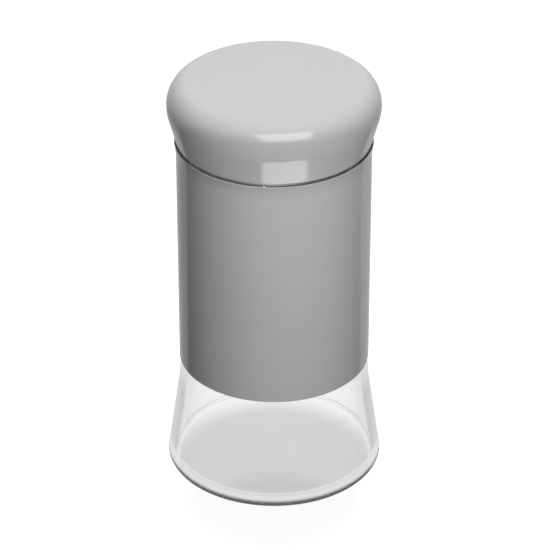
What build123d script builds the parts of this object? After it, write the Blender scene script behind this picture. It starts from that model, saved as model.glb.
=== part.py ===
from build123d import *
from math import cos, radians, sin
import os

# Dry food storage jar: a clear glass jar with a flared base, a painted steel sleeve round its
# straight body, and a two-piece screw lid with a seal. Millimetres, +Z up. The origin is the
# centre of the foot, on the surface that the jar stands on, and +Z is the jar's axis.

# Heights that set the whole jar
overall_height = 210.0
sleeve_bottom = 58.3
sleeve_top = 178.9
lid_gap = 1.0
lid_bottom = sleeve_top + lid_gap

# Glass jar: a straight body over a conical flare, with a plain base and a threaded neck
body_radius = 46.7
glass_wall = 4.2
flare_slope = 0.146  # gain of radius for each millimetre down the flare
flare_corner_height = 52.0
flare_rounding = 166.0
heel_rounding = 1.8
shoulder_height = 171.5
shoulder_rise = 5.0
shoulder_rounding = 6.0
neck_radius = 39.3
neck_root_rounding = 1.2
mouth_radius = 35.9
rim_height = 198.2
rim_rounding = 1.5

# Glass jar: the crowned floor inside, and the bearing ring round a push-up below
floor_edge_height = 2.7
floor_height = 3.4
floor_crown_radius = 24.0
floor_rounding = 4.0
foot_inner_radius = 46.5
push_up_edge_radius = 44.6
push_up_edge_height = 0.3
push_up_radius = 26.0
push_up_height = 0.6
crown_rounding = 300.0

# Screw thread: right-handed, one start, the insert's ridge bearing under the neck's
thread_lead = 6.0
thread_height = 1.6
thread_gap = 0.5
flank_gap = 0.35
ridge_bite = 0.4  # how far a ridge is buried in the wall that carries it
neck_ridge_start = 184.0
neck_ridge_angle = 20.0
neck_ridge_turns = 1.3
neck_ridge_root = 3.0
neck_ridge_crest = 1.4
insert_ridge_turns = 1.0
insert_ridge_angle = 80.0
insert_ridge_root = 2.6
insert_ridge_crest = 1.2

# Painted steel sleeve, rolled from sheet, its top edge belled out
sleeve_radius = 47.5
sheet_thickness = 0.5
bell_height = 7.0
bell_spread = 0.75
weld_nub_radius = 0.75
weld_nub_angle = -95.8

# Adhesive band that holds the sleeve to the glass
band_bottom = 146.0
band_height = 14.0
band_slack = 0.02

# Lid shell
lid_edge_radius = 47.35
lid_edge_rounding = 0.8
lid_side_slope = 0.275  # gain of radius for each millimetre up the side
lid_side_rounding = 18.0
lid_widest_radius = 51.7
lid_widest_height = 198.4
lid_flat_radius = 41.9
lid_wall = 2.2
rib_radius = 39.8
rib_thickness = 1.8

# Lid insert and its seal
fit_gap = 0.1
insert_wall = 2.2
insert_bottom = 180.6
flange_height = 1.8
plate_bottom = 200.9
plate_thickness = 2.0
seal_inner_radius = 35.2
seal_thickness = 2.4
seal_side_gap = 0.5
register_wall = 1.4
register_side_gap = 0.6
register_depth = 2.0


def turned(corners):
    """The solid turned round the axis from an outline of (radius, height, rounding) corners."""
    points = [(radius, height) for radius, height, _ in corners]
    roundings = [rounding for _, _, rounding in corners]
    outline = FilletPolyline(*points, radius=roundings, close=True)
    return revolve(Plane.XZ * make_face(outline), Axis.Z)


def ring(inner, outer, bottom, top):
    """A plain ring, or a disc where the inner radius is 0."""
    return turned([(inner, bottom, 0), (outer, bottom, 0), (outer, top, 0), (inner, top, 0)])


def ridge(root_radius, crest_radius, root_width, crest_width, height, angle, turns):
    """A helical thread ridge that starts at that height and angle, its flanks running on into the wall."""
    outward = 1 if crest_radius > root_radius else -1
    buried_radius = root_radius - outward * ridge_bite
    buried_width = root_width + (root_width - crest_width) * ridge_bite / thread_height
    section = Plane.XZ * make_face(
        Polyline(
            (buried_radius, -buried_width / 2),
            (crest_radius, -crest_width / 2),
            (crest_radius, crest_width / 2),
            (buried_radius, buried_width / 2),
            close=True,
        )
    )
    path = Helix(pitch=thread_lead, height=thread_lead * turns, radius=root_radius)
    return Pos(0, 0, height) * Rot(0, 0, angle) * sweep(section, path=path, is_frenet=True)


def glass_jar():
    """The jar, pressed in clear glass in one piece with its threaded neck."""
    inner_radius = body_radius - glass_wall
    base_radius = body_radius + flare_slope * flare_corner_height
    floor_edge = inner_radius + flare_slope * (flare_corner_height - floor_edge_height)
    jar = turned(
        [
            (0, push_up_height, 0),
            (push_up_radius, push_up_height, crown_rounding),
            (push_up_edge_radius, push_up_edge_height, 1.0),
            (foot_inner_radius, 0, 0.5),
            (base_radius, 0, heel_rounding),
            (body_radius, flare_corner_height, flare_rounding),
            (body_radius, shoulder_height, shoulder_rounding),
            (neck_radius, shoulder_height + shoulder_rise, neck_root_rounding),
            (neck_radius, rim_height, rim_rounding),
            (mouth_radius, rim_height, rim_rounding),
            (mouth_radius, shoulder_height + shoulder_rise - glass_wall, neck_root_rounding),
            (inner_radius, shoulder_height - glass_wall, shoulder_rounding - glass_wall),
            (inner_radius, flare_corner_height, flare_rounding),
            (floor_edge, floor_edge_height, floor_rounding),
            (floor_crown_radius, floor_height, crown_rounding),
            (0, floor_height, 0),
        ]
    )
    return jar + ridge(
        neck_radius,
        neck_radius + thread_height,
        neck_ridge_root,
        neck_ridge_crest,
        neck_ridge_start,
        neck_ridge_angle,
        neck_ridge_turns,
    )


def steel_sleeve():
    """The sleeve, rolled and welded in painted sheet, with a belled top edge and a nub of weld on it."""
    inner_radius = sleeve_radius - sheet_thickness
    straight_top = sleeve_top - bell_height
    bell_radius = (bell_height**2 + bell_spread**2) / (2 * bell_spread)
    outer_wall = Line((sleeve_radius, sleeve_bottom), (sleeve_radius, straight_top))
    outer_bell = RadiusArc(outer_wall @ 1, (sleeve_radius + bell_spread, sleeve_top), bell_radius)
    inner_wall = Line((inner_radius, straight_top), (inner_radius, sleeve_bottom))
    inner_bell = RadiusArc((inner_radius + bell_spread, sleeve_top), inner_wall @ 0, -bell_radius)
    lip = Line(outer_bell @ 1, inner_bell @ 0)
    foot = Line(inner_wall @ 1, outer_wall @ 0)
    outline = make_face([outer_wall, outer_bell, lip, inner_bell, inner_wall, foot])
    sheet = revolve(Plane.XZ * outline, Axis.Z)
    nub_radius = sleeve_radius + bell_spread - sheet_thickness / 2
    nub_angle = radians(weld_nub_angle)
    nub_place = Pos(nub_radius * cos(nub_angle), nub_radius * sin(nub_angle), sleeve_top)
    return sheet + nub_place * Sphere(weld_nub_radius)


def adhesive_band():
    """The band of clear adhesive between the glass and the sleeve."""
    sleeve_inside = sleeve_radius - sheet_thickness
    return ring(body_radius + band_slack, sleeve_inside - band_slack, band_bottom, band_bottom + band_height)


def dome(inset):
    """The lid's outline from its edge to its axis, set in from the outside by a distance."""
    edge_radius = lid_edge_radius - inset
    widest_radius = lid_widest_radius - inset
    corner_height = lid_bottom + (widest_radius - edge_radius) / lid_side_slope
    top = overall_height - inset
    side = FilletPolyline(
        (edge_radius, lid_bottom),
        (widest_radius, corner_height),
        (widest_radius, lid_widest_height),
        radius=lid_side_rounding,
    )
    shoulder = EllipticalCenterArc(
        (lid_flat_radius, lid_widest_height),
        widest_radius - lid_flat_radius,
        top - lid_widest_height,
        start_angle=0,
        arc_size=90,
    )
    flat = Line((lid_flat_radius, top), (0, top))
    return [*side.edges(), shoulder, flat]


def lid_shell():
    """The lid's outer shell, a moulded dome with a flat top, and a ring rib that rests on the insert."""
    edge = Line((lid_edge_radius - lid_wall, lid_bottom), (lid_edge_radius, lid_bottom))
    axis_line = Line((0, overall_height - lid_wall), (0, overall_height))
    outline = make_face([*dome(0), axis_line, *dome(lid_wall), edge])
    outer_corner = outline.vertices().sort_by_distance((lid_edge_radius, lid_bottom))[0]
    shell = revolve(Plane.XZ * fillet(outer_corner, lid_edge_rounding), Axis.Z)
    rib_bottom = plate_bottom + plate_thickness + fit_gap
    rib_top = overall_height - lid_wall + ridge_bite
    return shell + ring(rib_radius - rib_thickness, rib_radius, rib_bottom, rib_top)


def lid_insert():
    """The threaded liner pressed into the shell, with a flange at its foot and a register for the seal."""
    skirt_inside = neck_radius + thread_height + thread_gap
    skirt_outside = skirt_inside + insert_wall
    flange_radius = lid_edge_radius - lid_wall
    register_outside = seal_inner_radius - register_side_gap
    plate_top = plate_bottom + plate_thickness
    register_bottom = plate_bottom - register_depth
    liner = turned(
        [
            (0, plate_bottom, 0),
            (register_outside - register_wall, plate_bottom, 0),
            (register_outside - register_wall, register_bottom, 0.4),
            (register_outside, register_bottom, 0.4),
            (register_outside, plate_bottom, 0),
            (skirt_inside, plate_bottom, 0.6),
            (skirt_inside, insert_bottom, 0.4),
            (flange_radius, insert_bottom, 0.3),
            (flange_radius, insert_bottom + flange_height, 0.3),
            (skirt_outside, insert_bottom + flange_height, 0.3),
            (skirt_outside, plate_top, 1.0),
            (0, plate_top, 0),
        ]
    )
    crest_radius = neck_radius + thread_gap
    depth_shared = thread_height - thread_gap
    neck_flank = (neck_ridge_root - neck_ridge_crest) / thread_height
    insert_flank = (insert_ridge_root - insert_ridge_crest) / thread_height
    neck_width = neck_ridge_crest + neck_flank * depth_shared
    insert_width = insert_ridge_crest + insert_flank * depth_shared
    drop = max(neck_width + insert_ridge_crest, neck_ridge_crest + insert_width) / 2 + flank_gap
    start = neck_ridge_start - drop + thread_lead * (insert_ridge_angle - neck_ridge_angle) / 360
    return liner + ridge(
        skirt_inside,
        crest_radius,
        insert_ridge_root,
        insert_ridge_crest,
        start,
        insert_ridge_angle,
        insert_ridge_turns,
    )


def seal_ring():
    """The soft flat ring that the insert presses onto the rim of the glass."""
    outer_radius = neck_radius + thread_height + thread_gap - seal_side_gap
    top = plate_bottom - fit_gap
    return ring(seal_inner_radius, outer_radius, top - seal_thickness, top)


os.makedirs("parts", exist_ok=True)
for build in (glass_jar, steel_sleeve, adhesive_band, lid_shell, lid_insert, seal_ring):
    export_step(build(), f"parts/{build.__name__}.step")
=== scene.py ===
from math import atan2, copysign, cos, degrees, hypot, pi, radians, sin, tan

import bmesh
import bpy
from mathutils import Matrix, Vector


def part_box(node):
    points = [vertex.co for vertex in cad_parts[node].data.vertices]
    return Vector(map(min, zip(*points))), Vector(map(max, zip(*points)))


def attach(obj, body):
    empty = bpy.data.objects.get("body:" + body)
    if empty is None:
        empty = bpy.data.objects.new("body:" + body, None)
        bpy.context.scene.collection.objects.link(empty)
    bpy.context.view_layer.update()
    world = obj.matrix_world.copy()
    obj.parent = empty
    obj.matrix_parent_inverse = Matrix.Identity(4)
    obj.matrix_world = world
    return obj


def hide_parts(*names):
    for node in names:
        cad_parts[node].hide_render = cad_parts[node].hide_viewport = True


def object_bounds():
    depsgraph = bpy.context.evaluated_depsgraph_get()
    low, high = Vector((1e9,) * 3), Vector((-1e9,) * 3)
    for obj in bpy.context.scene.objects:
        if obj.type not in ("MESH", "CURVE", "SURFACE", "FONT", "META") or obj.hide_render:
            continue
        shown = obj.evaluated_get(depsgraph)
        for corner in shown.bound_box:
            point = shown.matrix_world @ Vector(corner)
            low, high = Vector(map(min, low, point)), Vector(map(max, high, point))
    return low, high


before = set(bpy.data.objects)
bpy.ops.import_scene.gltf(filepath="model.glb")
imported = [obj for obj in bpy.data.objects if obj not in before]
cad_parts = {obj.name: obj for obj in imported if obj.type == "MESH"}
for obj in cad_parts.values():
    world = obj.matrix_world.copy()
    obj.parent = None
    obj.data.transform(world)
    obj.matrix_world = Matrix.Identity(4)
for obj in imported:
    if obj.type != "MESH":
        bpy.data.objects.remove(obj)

cad_low, cad_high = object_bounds()

# ---- Glass jar ----
# Clear glass, pressed in one piece: a plain base with a stippled bearing ring, a conical flare, a
# straight body and a neck with one thread ridge. The sleeve and the lid are fitted round it.

mm = 0.001
ring_steps = 256
degrees_per_facet = 5
fewest_facets = 5
hair = 0.001 * mm
smooth_angle = radians(32)

jar_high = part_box("glass_jar")[1]
rim_height = jar_high.z
body_radius = 46.7 * mm
glass_wall = 4.2 * mm
flare_slope = 0.146
flare_corner_height = 52 * mm
flare_rounding = 166 * mm
heel_rounding = 1.82 * mm
heel_corner_radius = body_radius + flare_slope * flare_corner_height
# The heel's painted shade: how high and how far out the glass's colour is painted dark.
painted_heel_shade_top = 4.6 * mm
painted_heel_shade_fade = 2.2 * mm
painted_heel_shade_radius = 52 * mm
painted_heel_shade_edge = 0.4 * mm
shoulder_height = 171.5 * mm
shoulder_rise = 5 * mm
shoulder_rounding = 6 * mm
neck_radius = 39.3 * mm
mouth_radius = 35.9 * mm
rim_rounding = 1.5 * mm
neck_root_rounding = 1.2 * mm
floor_edge_height = 2.7 * mm
floor_height = 3.4 * mm
floor_crown_radius = 24 * mm
floor_rounding = 4 * mm
foot_inner_radius = 46.5 * mm
foot_inner_rounding = 0.5 * mm
stipple_radii = (47.7 * mm, 48.8 * mm, 49.9 * mm)
stipple_margin = 0.3 * mm
stipple_depth = 0.035 * mm
push_up_edge_radius = 44.6 * mm
push_up_edge_height = 0.3 * mm
push_up_edge_rounding = 1 * mm
push_up_radius = 26 * mm
push_up_height = 0.6 * mm
crown_rounding = 300 * mm

thread_lead = 6 * mm
thread_height = 1.6 * mm
ridge_bite = 0.4 * mm
ridge_sink = 0.9
ridge_steps_per_turn = 96
run_out_steps = 10

clear_tint = (0.985, 0.99, 0.988, 1)
# A painted shade colour, put on the heel's outer edge where the glass looks dark.
painted_heel_shade_tint = (0.028, 0.029, 0.029, 1)
straight_through_tint = (0.97, 0.975, 0.975, 1)
shadow_tint = (0.93, 0.94, 0.935, 1)
glass_relief = 0.1 * mm
ripple_share = 0.18


def select_ring(piece, radius, height):
    """Selects the edges of one ring of a turned piece that is being edited."""
    bpy.ops.mesh.select_all(action="DESELECT")
    shape = bmesh.from_edit_mesh(piece.data)
    for edge in shape.edges:
        ends = [hypot(hypot(end.co.x, end.co.y) - radius, end.co.z - height) for end in edge.verts]
        if max(ends) < hair:
            edge.select_set(True)
    bmesh.update_edit_mesh(piece.data)


def turned(name, corners, ends):
    """A solid of revolution, drawn from ring to ring through corners of (radius, height, rounding).

    Its open ends are then gathered on the axis ("gathered") or joined to each other ("joined"), and
    each corner that has a rounding is bevelled to an arc of that radius.
    """
    bpy.ops.object.select_all(action="DESELECT")
    radius, height, _ = corners[0]
    bpy.ops.mesh.primitive_circle_add(vertices=ring_steps, radius=radius, location=(0, 0, height))
    bpy.ops.object.transform_apply(location=True)
    piece = bpy.context.object
    piece.name = name
    bpy.ops.object.mode_set(mode="EDIT")
    for next_radius, next_height, _ in corners[1:]:
        rise = (0, 0, next_height - height)
        growth = next_radius / radius
        bpy.ops.mesh.extrude_edges_move(TRANSFORM_OT_translate={"value": rise})
        bpy.ops.transform.resize(value=(growth, growth, 1), center_override=(0, 0, 0))
        radius, height = next_radius, next_height
    bpy.ops.mesh.select_all(action="DESELECT")
    bpy.ops.mesh.select_non_manifold()
    if ends == "joined":
        bpy.ops.mesh.bridge_edge_loops()
        neighbours = [corners[-1], *corners, corners[0]]
    else:
        bpy.ops.mesh.extrude_edges_move()
        bpy.ops.mesh.merge(type="COLLAPSE")
        neighbours = [(0, corners[0][1], 0), *corners, (0, corners[-1][1], 0)]
    for before, corner, after in zip(neighbours, corners, neighbours[2:]):
        if corner[2]:
            way_in = atan2(corner[1] - before[1], corner[0] - before[0])
            way_out = atan2(after[1] - corner[1], after[0] - corner[0])
            turn = abs((way_out - way_in + pi) % (2 * pi) - pi)
            select_ring(piece, corner[0], corner[1])
            bpy.ops.mesh.bevel(
                offset=corner[2] * tan(turn / 2),
                segments=max(fewest_facets, round(degrees(turn) / degrees_per_facet)),
                profile=0.5,
                affect="EDGES",
                clamp_overlap=False,
            )
    bpy.ops.mesh.select_all(action="SELECT")
    bpy.ops.mesh.remove_doubles(threshold=hair)
    bpy.ops.mesh.normals_make_consistent(inside=False)
    bpy.ops.object.mode_set(mode="OBJECT")
    return piece


def helical_ridge(wall_radius, crest_radius, root_width, crest_width, start, angle, turns):
    """A thread ridge: its section wound up a helix, its ends sinking into the wall that carries it."""
    inward = -1 if crest_radius > wall_radius else 1
    foot_radius = wall_radius + inward * ridge_bite
    foot_width = root_width + (root_width - crest_width) * ridge_bite / thread_height
    bpy.ops.object.select_all(action="DESELECT")
    bpy.ops.mesh.primitive_plane_add(size=1, rotation=(pi / 2, 0, 0))
    bpy.ops.object.transform_apply(rotation=True)
    winding = bpy.context.object
    for corner in winding.data.vertices:
        at_crest = corner.co.x > 0
        radius = crest_radius if at_crest else foot_radius
        width = crest_width if at_crest else foot_width
        corner.co = (radius * cos(angle), radius * sin(angle), start + copysign(width / 2, corner.co.z))
    steps = round(turns * ridge_steps_per_turn)
    bpy.ops.object.modifier_add(type="SCREW")
    screw = winding.modifiers[-1]
    screw.angle = turns * 2 * pi
    screw.screw_offset = turns * thread_lead
    screw.steps = steps
    screw.render_steps = steps
    bpy.ops.object.modifier_apply(modifier=screw.name)
    # The section has four corners, so each step of the helix adds four vertices.
    for vertex in winding.data.vertices:
        step = vertex.index // 4
        sunk = 1 - min(1, step / run_out_steps, (steps - step) / run_out_steps)
        radius = hypot(vertex.co.x, vertex.co.y)
        shrink = 1 + sunk**2 * (foot_radius / radius - 1) * ridge_sink
        vertex.co = (vertex.co.x * shrink, vertex.co.y * shrink, vertex.co.z)
    bpy.ops.object.mode_set(mode="EDIT")
    bpy.ops.mesh.select_all(action="SELECT")
    bpy.ops.mesh.fill_holes(sides=4)
    bpy.ops.mesh.select_all(action="SELECT")
    bpy.ops.mesh.normals_make_consistent(inside=False)
    bpy.ops.object.mode_set(mode="OBJECT")
    return winding


def weld_on(piece, part):
    """Makes a part one solid with a piece."""
    bpy.ops.object.select_all(action="DESELECT")
    bpy.context.view_layer.objects.active = piece
    piece.select_set(True)
    bpy.ops.object.modifier_add(type="BOOLEAN")
    union = piece.modifiers[-1]
    union.operation = "UNION"
    union.solver = "EXACT"
    union.object = part
    bpy.ops.object.modifier_apply(modifier=union.name)
    bpy.data.objects.remove(part)


def smoothed(piece):
    """Shades a finished piece smooth, but for its sharp edges, with each normal set by its widest faces."""
    bpy.ops.object.select_all(action="DESELECT")
    bpy.context.view_layer.objects.active = piece
    piece.select_set(True)
    bpy.ops.object.shade_smooth_by_angle(angle=smooth_angle)
    bpy.ops.object.modifier_add(type="WEIGHTED_NORMAL")
    weighting = piece.modifiers[-1]
    weighting.keep_sharp = True
    bpy.ops.object.modifier_apply(modifier=weighting.name)


class Flow:
    """What comes out of a node. Arithmetic with it is written as Python and adds Math nodes."""

    def __init__(self, tree, socket=None):
        self.tree = tree
        self.socket = socket

    def add(self, kind, settings, sockets, output=0):
        """Adds a node, sets it up, fills its sockets with values or flows, and gives what comes out."""
        node = self.tree.nodes.new(kind)
        for name, value in settings.items():
            setattr(node, name, value)
        for name, value in sockets.items():
            if isinstance(value, Flow):
                self.tree.links.new(value.socket, node.inputs[name])
            else:
                node.inputs[name].default_value = value
        return Flow(self.tree, node.outputs[output])

    def math(self, operation, first, second):
        return self.add("ShaderNodeMath", {"operation": operation}, {0: first, 1: second})

    def __add__(self, other):
        return self.math("ADD", self, other)

    def __radd__(self, other):
        return self.math("ADD", other, self)

    def __sub__(self, other):
        return self.math("SUBTRACT", self, other)

    def __rsub__(self, other):
        return self.math("SUBTRACT", other, self)

    def __mul__(self, other):
        return self.math("MULTIPLY", self, other)

    def __rmul__(self, other):
        return self.math("MULTIPLY", other, self)


def smooth_step(flow, value, start, end):
    """A mask that rises softly from 0 to 1 while a value goes from start to end."""
    settings = {"interpolation_type": "SMOOTHSTEP"}
    return flow.add("ShaderNodeMapRange", settings, {"Value": value, "From Min": start, "From Max": end})


def between(flow, mask, first, second):
    """A colour that goes from the first to the second as a mask goes from 0 to 1."""
    return flow.add("ShaderNodeMix", {"data_type": "RGBA"}, {0: mask, 6: first, 7: second}, 2)


def noise(flow, place, scale, detail):
    """Cloudy noise from 0 to 1, about 1 / scale metres from cloud to cloud."""
    return flow.add("ShaderNodeTexNoise", {}, {"Vector": place, "Scale": scale, "Detail": detail}, "Fac")


def relief(flow, height, depth, strength=1.0):
    """Shallow relief from a height between 0 and 1, for a shader's Normal."""
    return flow.add("ShaderNodeBump", {}, {"Strength": strength, "Distance": depth, "Height": height})


def new_material(name):
    """An empty material's nodes, and the socket that its shader goes to."""
    finish = bpy.data.materials.new(name)
    finish.use_nodes = True
    finish.node_tree.nodes.clear()
    flow = Flow(finish.node_tree)
    output = finish.node_tree.nodes.new("ShaderNodeOutputMaterial")
    return finish, flow, output.inputs["Surface"]


def clear_glass():
    """Colourless glass, slightly uneven where the plunger pressed it, that lets lamps shine through.

    Its heel is painted dark in its base colour where light enters near the foot's outer edge: a
    painted shade, not the glass's own colour. Light that has been thrown back inside the wall once,
    or inside the floor twice, leaves it straight on, hardly dimmer.
    """
    finish, flow, surface = new_material("clear_pressed_glass")
    place = flow.add("ShaderNodeTexCoord", {}, {}, "Object")
    swell = noise(flow, place, scale=38, detail=1)
    ripple = noise(flow, place, scale=130, detail=1)
    bump = relief(flow, swell + ripple * ripple_share, glass_relief)
    height = flow.add("ShaderNodeSeparateXYZ", {}, {"Vector": place}, "Z")
    above_heel = smooth_step(flow, height, painted_heel_shade_top - painted_heel_shade_fade, painted_heel_shade_top)
    from_middle = flow.add("ShaderNodeVectorMath", {"operation": "LENGTH"}, {0: place}, "Value")
    painted_shade_rim = smooth_step(flow, from_middle, painted_heel_shade_radius, painted_heel_shade_radius + painted_heel_shade_edge)
    leaving = flow.add("ShaderNodeNewGeometry", {}, {}, "Backfacing")
    # Painted shade: the colour goes dark at the heel's outer edge, where light enters the glass.
    colour_with_painted_heel_shade = between(flow, painted_shade_rim * (1 - above_heel) * (1 - leaving), clear_tint, painted_heel_shade_tint)
    glass = flow.add(
        "ShaderNodeBsdfPrincipled",
        {},
        {"Base Color": colour_with_painted_heel_shade, "Roughness": 0.0, "IOR": 1.5, "Transmission Weight": 1.0, "Normal": bump},
    )
    bounces = flow.add("ShaderNodeLightPath", {}, {}, "Glossy Depth")
    in_floor = flow.math("LESS_THAN", from_middle, foot_inner_radius)
    trapped = flow.math("GREATER_THAN", bounces, in_floor + 0.5)
    way_out = flow.add("ShaderNodeBsdfTransparent", {}, {"Color": straight_through_tint})
    traced = flow.add("ShaderNodeMixShader", {}, {0: trapped, 1: glass, 2: way_out})
    open_way = flow.add("ShaderNodeBsdfTransparent", {}, {"Color": shadow_tint})
    is_diffuse = flow.add("ShaderNodeLightPath", {}, {}, "Is Diffuse Ray")
    is_shadow = flow.add("ShaderNodeLightPath", {}, {}, "Is Shadow Ray")
    inside = flow.add("ShaderNodeMixShader", {}, {0: is_diffuse, 1: traced, 2: open_way})
    mixed = flow.add("ShaderNodeMixShader", {}, {0: is_shadow, 1: inside, 2: open_way})
    flow.tree.links.new(mixed.socket, surface)
    return finish


floor_edge_radius = heel_corner_radius - glass_wall - flare_slope * floor_edge_height
glass_jar = turned(
    "pressed_glass_jar",
    [
        (push_up_radius, push_up_height, crown_rounding),
        (push_up_edge_radius, push_up_edge_height, push_up_edge_rounding),
        (foot_inner_radius, 0, foot_inner_rounding),
        *[(radius, 0, 0) for radius in stipple_radii],
        (heel_corner_radius, 0, heel_rounding),
        (body_radius, flare_corner_height, flare_rounding),
        (body_radius, shoulder_height, shoulder_rounding),
        (neck_radius, shoulder_height + shoulder_rise, neck_root_rounding),
        (neck_radius, rim_height, rim_rounding),
        (mouth_radius, rim_height, rim_rounding),
        (mouth_radius, shoulder_height + shoulder_rise - glass_wall, neck_root_rounding),
        (body_radius - glass_wall, shoulder_height - glass_wall, shoulder_rounding - glass_wall),
        (body_radius - glass_wall, flare_corner_height, flare_rounding),
        (floor_edge_radius, floor_edge_height, floor_rounding),
        (floor_crown_radius, floor_height, crown_rounding),
    ],
    "gathered",
)

# The bearing ring is stippled with small hollows, two staggered rows of them.
bpy.ops.object.mode_set(mode="EDIT")
bpy.ops.mesh.select_all(action="DESELECT")
bpy.ops.mesh.select_mode(type="FACE")
shape = bmesh.from_edit_mesh(glass_jar.data)
for face in shape.faces:
    middle = face.calc_center_median()
    spoke = int(atan2(middle.y, middle.x) % (2 * pi) / (2 * pi) * ring_steps)
    row = sum(hypot(middle.x, middle.y) > edge for edge in stipple_radii)
    if abs(middle.z) < hair and row in (1, 2) and (spoke + row) % 2 == 0:
        face.select_set(True)
bmesh.update_edit_mesh(glass_jar.data)
bpy.ops.mesh.inset(use_individual=True, thickness=stipple_margin, depth=-stipple_depth)
bpy.ops.mesh.select_mode(type="VERT")
bpy.ops.object.mode_set(mode="OBJECT")

glass_thread = helical_ridge(
    wall_radius=neck_radius,
    crest_radius=neck_radius + thread_height,
    root_width=3 * mm,
    crest_width=1.4 * mm,
    start=184 * mm,
    angle=radians(20),
    turns=1.3,
)
weld_on(glass_jar, glass_thread)
smoothed(glass_jar)
glass_jar.data.materials.append(clear_glass())
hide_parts("glass_jar")
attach(glass_jar, "jar")

# ---- Steel sleeve ----
# Thin sheet steel, rolled to a tube, welded and painted a cool light grey, with its top edge belled
# out and a nub of weld left on it. It is slid over the straight body and held by the adhesive.

sleeve_low, sleeve_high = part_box("steel_sleeve")
sheet_thickness = 0.5 * mm
sheet_edge_rounding = 0.2 * mm
bell_height = 7 * mm
bell_spread = 0.75 * mm
bell_rounding = 32 * mm
weld_nub_radius = 0.75 * mm
weld_nub_angle = radians(-95.8)
sleeve_foot = sleeve_low.z
sleeve_top = sleeve_high.z - weld_nub_radius
sleeve_radius = sleeve_high.x - bell_spread
bell_corner_height = sleeve_top - bell_height / 2
paint_shades = ((0.478, 0.486, 0.482, 1), (0.502, 0.510, 0.506, 1))
gloss_roughness = 0.1
gloss_variation = 0.06
orange_peel_depth = 0.006 * mm


def grey_paint():
    """Gloss stoving enamel over steel: an even cool grey with a slight orange peel."""
    finish, flow, surface = new_material("grey_stoving_enamel")
    place = flow.add("ShaderNodeTexCoord", {}, {}, "Object")
    cloud = noise(flow, place, scale=26, detail=3)
    colour = between(flow, cloud, *paint_shades)
    bump = relief(flow, noise(flow, place, scale=520, detail=2), orange_peel_depth)
    paint = flow.add(
        "ShaderNodeBsdfPrincipled",
        {},
        {
            "Base Color": colour,
            "Roughness": gloss_roughness + cloud * gloss_variation,
            "IOR": 1.5,
            "Normal": bump,
        },
    )
    flow.tree.links.new(paint.socket, surface)
    return finish


steel_sleeve = turned(
    "painted_steel_sleeve",
    [
        (sleeve_radius - sheet_thickness, sleeve_foot, sheet_edge_rounding),
        (sleeve_radius, sleeve_foot, sheet_edge_rounding),
        (sleeve_radius, bell_corner_height, bell_rounding),
        (sleeve_radius + bell_spread, sleeve_top, sheet_edge_rounding),
        (sleeve_radius + bell_spread - sheet_thickness, sleeve_top, sheet_edge_rounding),
        (sleeve_radius - sheet_thickness, bell_corner_height, bell_rounding),
    ],
    "joined",
)
lip_radius = sleeve_radius + bell_spread - sheet_thickness / 2
bpy.ops.object.select_all(action="DESELECT")
bpy.ops.mesh.primitive_ico_sphere_add(
    subdivisions=4,
    radius=weld_nub_radius,
    location=(lip_radius * cos(weld_nub_angle), lip_radius * sin(weld_nub_angle), sleeve_top),
)
bpy.ops.object.transform_apply(location=True)
weld_on(steel_sleeve, bpy.context.object)
smoothed(steel_sleeve)
steel_sleeve.data.materials.append(grey_paint())
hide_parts("steel_sleeve")
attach(steel_sleeve, "jar")

# ---- Adhesive band ----
# A thin band of clear, slightly milky adhesive between the glass and the sleeve, near the sleeve's
# top. It stops the loose sleeve from sliding or turning.

band_low, band_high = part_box("adhesive_band")
band_slack = 0.02 * mm
adhesive_shades = ((0.66, 0.65, 0.61, 1), (0.8, 0.79, 0.76, 1))
adhesive_roughness = 0.45
adhesive_variation = 0.2
bubble_depth = 0.05 * mm


def milky_adhesive():
    """Cured adhesive, dull and milky, with small bubbles in it."""
    finish, flow, surface = new_material("milky_adhesive")
    place = flow.add("ShaderNodeTexCoord", {}, {}, "Object")
    bubbles = flow.add("ShaderNodeTexVoronoi", {}, {"Vector": place, "Scale": 900}, "Distance")
    cloud = noise(flow, place, scale=120, detail=3)
    colour = between(flow, cloud, *adhesive_shades)
    bump = relief(flow, bubbles, bubble_depth, strength=0.6)
    glue = flow.add(
        "ShaderNodeBsdfPrincipled",
        {},
        {
            "Base Color": colour,
            "Roughness": adhesive_roughness + cloud * adhesive_variation,
            "Normal": bump,
        },
    )
    flow.tree.links.new(glue.socket, surface)
    return finish


band_inside = body_radius + band_slack
band_outside = sleeve_radius - sheet_thickness - band_slack
adhesive_band = turned(
    "adhesive_ring",
    [
        (band_inside, band_low.z, 0),
        (band_outside, band_low.z, 0),
        (band_outside, band_high.z, 0),
        (band_inside, band_high.z, 0),
    ],
    "joined",
)
smoothed(adhesive_band)
adhesive_band.data.materials.append(milky_adhesive())
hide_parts("adhesive_band")
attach(adhesive_band, "jar")

# ---- Seal ring ----
# A flat ring of soft milky rubber, stretched round the insert's register. Screwing the lid
# down presses it on the rim of the glass.

seal_low, seal_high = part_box("seal_ring")
seal_inner_radius = 35.2 * mm
seal_rounding = 0.5 * mm
rubber_shades = ((0.68, 0.69, 0.69, 1), (0.78, 0.785, 0.78, 1))
rubber_roughness = 0.55
rubber_variation = 0.15
rubber_grain_depth = 0.02 * mm


def soft_rubber():
    """Matt, milky silicone rubber with a faint cast of dust."""
    finish, flow, surface = new_material("milky_silicone")
    place = flow.add("ShaderNodeTexCoord", {}, {}, "Object")
    grain = noise(flow, place, scale=1500, detail=2)
    colour = between(flow, noise(flow, place, scale=90, detail=4), *rubber_shades)
    bump = relief(flow, grain, rubber_grain_depth, strength=0.5)
    rubber = flow.add(
        "ShaderNodeBsdfPrincipled",
        {},
        {
            "Base Color": colour,
            "Roughness": rubber_roughness + grain * rubber_variation,
            "Normal": bump,
        },
    )
    flow.tree.links.new(rubber.socket, surface)
    return finish


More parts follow.
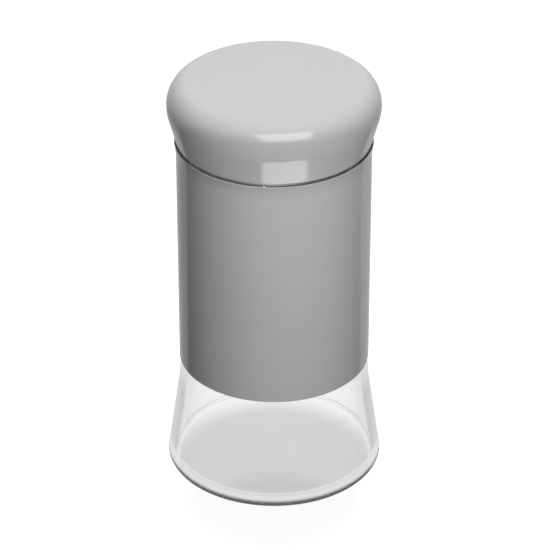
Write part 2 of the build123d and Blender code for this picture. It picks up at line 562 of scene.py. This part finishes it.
seal_ring = turned(
    "silicone_seal",
    [
        (seal_inner_radius, seal_low.z, seal_rounding),
        (seal_high.x, seal_low.z, seal_rounding),
        (seal_high.x, seal_high.z, seal_rounding),
        (seal_inner_radius, seal_high.z, seal_rounding),
    ],
    "joined",
)
smoothed(seal_ring)
seal_ring.data.materials.append(soft_rubber())
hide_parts("seal_ring")
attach(seal_ring, "seal")

# ---- Lid insert ----
# White plastic, moulded: a skirt with the thread inside it, a flange at its foot and a small
# register under its plate that centres the seal. It is pressed up into the outer shell.

insert_low, insert_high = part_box("lid_insert")
thread_gap = 0.5 * mm
insert_wall = 2.2 * mm
flange_height = 1.8 * mm
plate_thickness = 2 * mm
plate_bottom = insert_high.z - plate_thickness
skirt_inside = neck_radius + thread_height + thread_gap
skirt_outside = skirt_inside + insert_wall
register_slack = 0.6 * mm
register_wall = 1.4 * mm
register_depth = 2 * mm
register_outside = seal_inner_radius - register_slack
register_inside = register_outside - register_wall
register_bottom = plate_bottom - register_depth
edge_break = 0.3 * mm
skirt_root_rounding = 0.6 * mm
skirt_top_rounding = 1 * mm
moulding_shades = ((0.77, 0.77, 0.76, 1), (0.82, 0.82, 0.81, 1))
moulding_roughness = 0.34
moulding_variation = 0.12
moulding_grain_depth = 0.015 * mm


def white_moulding():
    """Satin white polypropylene, fine-grained as it leaves the mould."""
    finish, flow, surface = new_material("white_polypropylene")
    place = flow.add("ShaderNodeTexCoord", {}, {}, "Object")
    grain = noise(flow, place, scale=2200, detail=2)
    colour = between(flow, noise(flow, place, scale=60, detail=3), *moulding_shades)
    bump = relief(flow, grain, moulding_grain_depth, strength=0.4)
    plastic = flow.add(
        "ShaderNodeBsdfPrincipled",
        {},
        {
            "Base Color": colour,
            "Roughness": moulding_roughness + grain * moulding_variation,
            "Normal": bump,
        },
    )
    flow.tree.links.new(plastic.socket, surface)
    return finish


lid_insert = turned(
    "threaded_lid_insert",
    [
        (register_inside, plate_bottom, 0),
        (register_inside, register_bottom, edge_break),
        (register_outside, register_bottom, edge_break),
        (register_outside, plate_bottom, 0),
        (skirt_inside, plate_bottom, skirt_root_rounding),
        (skirt_inside, insert_low.z, edge_break),
        (insert_high.x, insert_low.z, edge_break),
        (insert_high.x, insert_low.z + flange_height, edge_break),
        (skirt_outside, insert_low.z + flange_height, edge_break),
        (skirt_outside, insert_high.z, skirt_top_rounding),
    ],
    "gathered",
)
insert_thread = helical_ridge(
    wall_radius=skirt_inside,
    crest_radius=neck_radius + thread_gap,
    root_width=2.6 * mm,
    crest_width=1.2 * mm,
    start=182.8 * mm,
    angle=radians(80),
    turns=1,
)
weld_on(lid_insert, insert_thread)
smoothed(lid_insert)
lid_insert.data.materials.append(white_moulding())
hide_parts("lid_insert")
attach(lid_insert, "lid")

# ---- Lid shell ----
# The outer shell of the lid, moulded in grey gloss plastic: a flat top, a full rounded shoulder and
# a side that draws in towards the sleeve. A ring rib inside it stands on the insert.

shell_low, shell_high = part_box("lid_shell")
lid_edge_radius = 47.35 * mm
lid_edge_rounding = 0.8 * mm
lid_side_slope = 0.275
lid_side_rounding = 18 * mm
lid_widest_height = 198.4 * mm
lid_flat_radius = 41.9 * mm
lid_wall = 2.2 * mm
shoulder_steps = 24
rib_radius = 39.8 * mm
rib_thickness = 1.8 * mm
rib_bottom = insert_high.z + 0.1 * mm
gloss_shades = ((0.54, 0.54, 0.538, 1), (0.57, 0.57, 0.568, 1))
gloss_unevenness = 0.008 * mm


def grey_gloss_moulding():
    """Gloss plastic coloured through, a neutral light grey, with the faint unevenness of a moulding."""
    finish, flow, surface = new_material("grey_gloss_plastic")
    place = flow.add("ShaderNodeTexCoord", {}, {}, "Object")
    cloud = noise(flow, place, scale=30, detail=3)
    colour = between(flow, cloud, *gloss_shades)
    bump = relief(flow, noise(flow, place, scale=320, detail=2), gloss_unevenness)
    plastic = flow.add(
        "ShaderNodeBsdfPrincipled",
        {},
        {
            "Base Color": colour,
            "Roughness": gloss_roughness + cloud * gloss_variation,
            "IOR": 1.5,
            "Normal": bump,
        },
    )
    flow.tree.links.new(plastic.socket, surface)
    return finish


def dome(inset):
    """The lid's outline from its edge to its flat top, set in from the outside by a distance."""
    widest = shell_high.x - inset
    edge = lid_edge_radius - inset
    top = shell_high.z - inset
    side_corner = shell_low.z + (widest - edge) / lid_side_slope
    across = widest - lid_flat_radius
    up = top - lid_widest_height
    arc = [step * pi / 2 / shoulder_steps for step in range(shoulder_steps + 1)]
    shoulder = [(lid_flat_radius + across * cos(way), lid_widest_height + up * sin(way), 0) for way in arc]
    return [(edge, shell_low.z, 0), (widest, side_corner, lid_side_rounding), *shoulder]


ceiling = shell_high.z - lid_wall
outside = dome(0)
inside = dome(lid_wall)
outside[0] = (lid_edge_radius, shell_low.z, lid_edge_rounding)
rib = [
    (rib_radius, ceiling, 0),
    (rib_radius, rib_bottom, edge_break),
    (rib_radius - rib_thickness, rib_bottom, edge_break),
    (rib_radius - rib_thickness, ceiling, 0),
]
lid_shell = turned("gloss_lid_shell", [*reversed(outside), *inside, *rib], "gathered")
smoothed(lid_shell)
lid_shell.data.materials.append(grey_gloss_moulding())
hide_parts("lid_shell")
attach(lid_shell, "lid")

# ---- Floor and surroundings ----
# A plain pale floor that runs into a plain pale background. The studio is bright behind and above
# the jar and dim in front of it, and the glass's edges pick up the dark band at its horizon.

floor_gap = 0.2 * mm
floor_size = 8
floor_colour = (0.8, 0.8, 0.8, 1)
white = (1, 1, 1, 1)
floor_seen = 0.93
floor_through_glass = 0.63
# A painted shadow: a ring under the glass's foot where the floor's glow, seen through the glass, is dimmed.
painted_contact_shadow_depth = 0.15
contact_inside = 50.5 * mm
contact_inside_edge = 2 * mm
contact_outside = 54 * mm
contact_outside_edge = 1 * mm

bpy.ops.object.select_all(action="DESELECT")
bpy.ops.mesh.primitive_plane_add(size=floor_size, location=(0, 0, cad_low.z - floor_gap))
bpy.ops.object.transform_apply(location=True)
floor = bpy.context.object
floor.name = "studio_floor"
finish, flow, surface = new_material("pale_floor")
matt = flow.add("ShaderNodeBsdfDiffuse", {}, {"Color": floor_colour})
place = flow.add("ShaderNodeTexCoord", {}, {}, "Object")
from_axis = flow.add("ShaderNodeVectorMath", {"operation": "LENGTH"}, {0: place}, "Value")
under_foot = smooth_step(flow, from_axis, contact_inside, contact_inside + contact_inside_edge)
past_foot = smooth_step(flow, from_axis, contact_outside, contact_outside + contact_outside_edge)
# Painted shadow under the foot, taken off the glow that transmission rays see.
painted_contact_shadow = under_foot - past_foot
is_camera = flow.add("ShaderNodeLightPath", {}, {}, "Is Camera Ray")
is_through = flow.add("ShaderNodeLightPath", {}, {}, "Is Transmission Ray")
shine = is_camera * floor_seen + is_through * (floor_through_glass - painted_contact_shadow * painted_contact_shadow_depth)
glow = flow.add("ShaderNodeEmission", {}, {"Color": white, "Strength": shine})
both = flow.add("ShaderNodeAddShader", {}, {0: matt, 1: glow})
flow.tree.links.new(both.socket, surface)
floor.data.materials.append(finish)
floor.visible_glossy = False
floor.visible_diffuse = False

front_mirrored = 0.25
back_mirrored = 0.7
front_through = 0.35
right_through = 0.5
horizon_through = 0.3
table_through = 0.7875
front_fill_light = 0.01
back_fill_light = 0.03
backdrop_edge = 0.03
right_side_reach = (0.2, 0.8)
horizon_reach = (0.1, 0.35)
table_reach = (0.05, 0.2)

world = bpy.data.worlds.new("studio")
bpy.context.scene.world = world
world.use_nodes = True
world.node_tree.nodes.clear()
flow = Flow(world.node_tree)
direction = flow.add("ShaderNodeTexCoord", {}, {}, "Generated")
behind_and_above = flow.add(
    "ShaderNodeVectorMath", {"operation": "DOT_PRODUCT"}, {0: direction, 1: (0, 1, 1)}, "Value"
)
backdrop = smooth_step(flow, behind_and_above, -backdrop_edge, backdrop_edge)
sideways = flow.add("ShaderNodeSeparateXYZ", {}, {"Vector": direction}, "X")
right_side = smooth_step(flow, sideways, *right_side_reach)
upwards = flow.add("ShaderNodeSeparateXYZ", {}, {"Vector": direction}, "Z")
off_horizon = smooth_step(flow, flow.math("ABSOLUTE", upwards, 0), *horizon_reach)
table = smooth_step(flow, 0 - upwards, *table_reach)
is_camera = flow.add("ShaderNodeLightPath", {}, {}, "Is Camera Ray")
is_glossy = flow.add("ShaderNodeLightPath", {}, {}, "Is Glossy Ray")
is_diffuse = flow.add("ShaderNodeLightPath", {}, {}, "Is Diffuse Ray")
crossings = flow.add("ShaderNodeLightPath", {}, {}, "Transmission Depth")
is_through = flow.math("GREATER_THAN", crossings, 0.5) * (1 - is_diffuse)
mirrored = front_mirrored + backdrop * (back_mirrored - front_mirrored)
dim_room = front_through + right_side * (right_through - front_through)
room = dim_room + backdrop * (1 - dim_room)
room_and_table = room * (1 - table) + table_through * table
above_and_below = horizon_through + off_horizon * (1 - horizon_through)
seen_through = room_and_table * above_and_below
soft_fill = front_fill_light + backdrop * (back_fill_light - front_fill_light)
strength = (
    is_camera
    + is_through * seen_through
    + is_glossy * (1 - is_through) * mirrored
    + is_diffuse * (1 - is_glossy) * soft_fill
)
background = flow.add("ShaderNodeBackground", {}, {"Color": white, "Strength": strength})
output = world.node_tree.nodes.new("ShaderNodeOutputWorld")
world.node_tree.links.new(background.socket, output.inputs["Surface"])

# ---- Lamps ----
# A large softbox in front and to the right, an overhead lamp, fills in front and behind, a low strip
# in front of the foot, and the light that a pale table throws up into the jar and under the lid. The
# floor is lit from overhead alone.

jar_middle = (0, 0, 0.15)
lid_middle = (0, 0, 0.19)
overhead_place = (0, 0.27, 1.4)
low_place = (0.02, -0.2, 0.003)
strip_place = (0.034, -0.1415, 0.002)
inside_place = (0, 0, 0.0045)


def soft_lamp(name, position, target, width, height, power):
    """A rectangular soft lamp that faces a target."""
    bpy.ops.object.light_add(type="AREA", location=position)
    lamp = bpy.context.object
    lamp.name = name
    lamp.rotation_euler = (Vector(target) - Vector(position)).to_track_quat("-Z", "Y").to_euler()
    lamp.data.shape = "RECTANGLE"
    lamp.data.size = width
    lamp.data.size_y = height
    lamp.data.energy = power
    lamp.visible_camera = False
    return lamp


def seen_at(azimuth, elevation, distance, height):
    """A place by its direction from the jar's axis, at azimuth 0 in front and positive to the right."""
    out = distance * cos(radians(elevation))
    rise = height + distance * sin(radians(elevation))
    return (out * sin(radians(azimuth)), -out * cos(radians(azimuth)), rise)


def lights_only(lamp, name, pieces):
    """Keeps a lamp's light to some of the pieces."""
    receivers = bpy.data.collections.new(name)
    for piece in pieces:
        receivers.objects.link(piece)
    lamp.light_linking.receiver_collection = receivers


softbox = soft_lamp(
    "softbox",
    seen_at(azimuth=13, elevation=43, distance=1.1, height=0.19),
    lid_middle,
    width=0.98,
    height=0.68,
    power=10,
)
overhead = soft_lamp("overhead", overhead_place, lid_middle, width=0.25, height=0.25, power=7.8)
front_fill = soft_lamp(
    "front_fill",
    seen_at(azimuth=13, elevation=20, distance=0.45, height=0.15),
    jar_middle,
    width=0.2,
    height=0.2,
    power=0.62,
)
rear_fill = soft_lamp(
    "rear_fill",
    seen_at(azimuth=180, elevation=10, distance=1.2, height=0.15),
    jar_middle,
    width=0.9,
    height=0.7,
    power=10,
)
low_fill = soft_lamp("low_fill", low_place, lid_middle, width=0.2, height=0.12, power=0.11)
straight_over_strip = (*strip_place[:2], 1)
low_strip = soft_lamp("low_strip", strip_place, straight_over_strip, width=0.148, height=0.097, power=0.175)
inside_fill = soft_lamp("inside_fill", inside_place, lid_middle, width=0.06, height=0.06, power=0.08)
low_strip.visible_transmission = False
for lamp in (overhead, front_fill, rear_fill, low_fill, inside_fill):
    lamp.visible_glossy = False
    lamp.visible_transmission = False
all_pieces = (glass_jar, steel_sleeve, adhesive_band, seal_ring, lid_insert, lid_shell)
lights_only(softbox, "lit_by_softbox", all_pieces)
lights_only(rear_fill, "lit_from_behind", all_pieces)
lights_only(front_fill, "lit_from_the_front", (steel_sleeve,))
lights_only(inside_fill, "lit_inside_by_the_table", (steel_sleeve,))
lights_only(low_fill, "lit_from_below", (lid_shell,))
lights_only(low_strip, "lit_by_low_strip", (lid_shell,))

# ---- Camera ----
# A long lens, looking down on the jar from in front, so that its sides stay nearly parallel.

camera_distance = 1.42902
camera_elevation = radians(31.197)
orbit_height = 0.095
aim = Vector((0.00046, 0, 0.10246))
lens_length = 188.24
film_width = 36
camera_out = camera_distance * cos(camera_elevation)
camera_rise = orbit_height + camera_distance * sin(camera_elevation)
bpy.ops.object.camera_add(location=(0, -camera_out, camera_rise))
camera = bpy.context.object
camera.rotation_euler = (aim - camera.location).to_track_quat("-Z", "Y").to_euler()
camera.data.lens = lens_length
camera.data.sensor_width = film_width
bpy.context.scene.camera = camera
bpy.context.scene.view_settings.view_transform = "Standard"
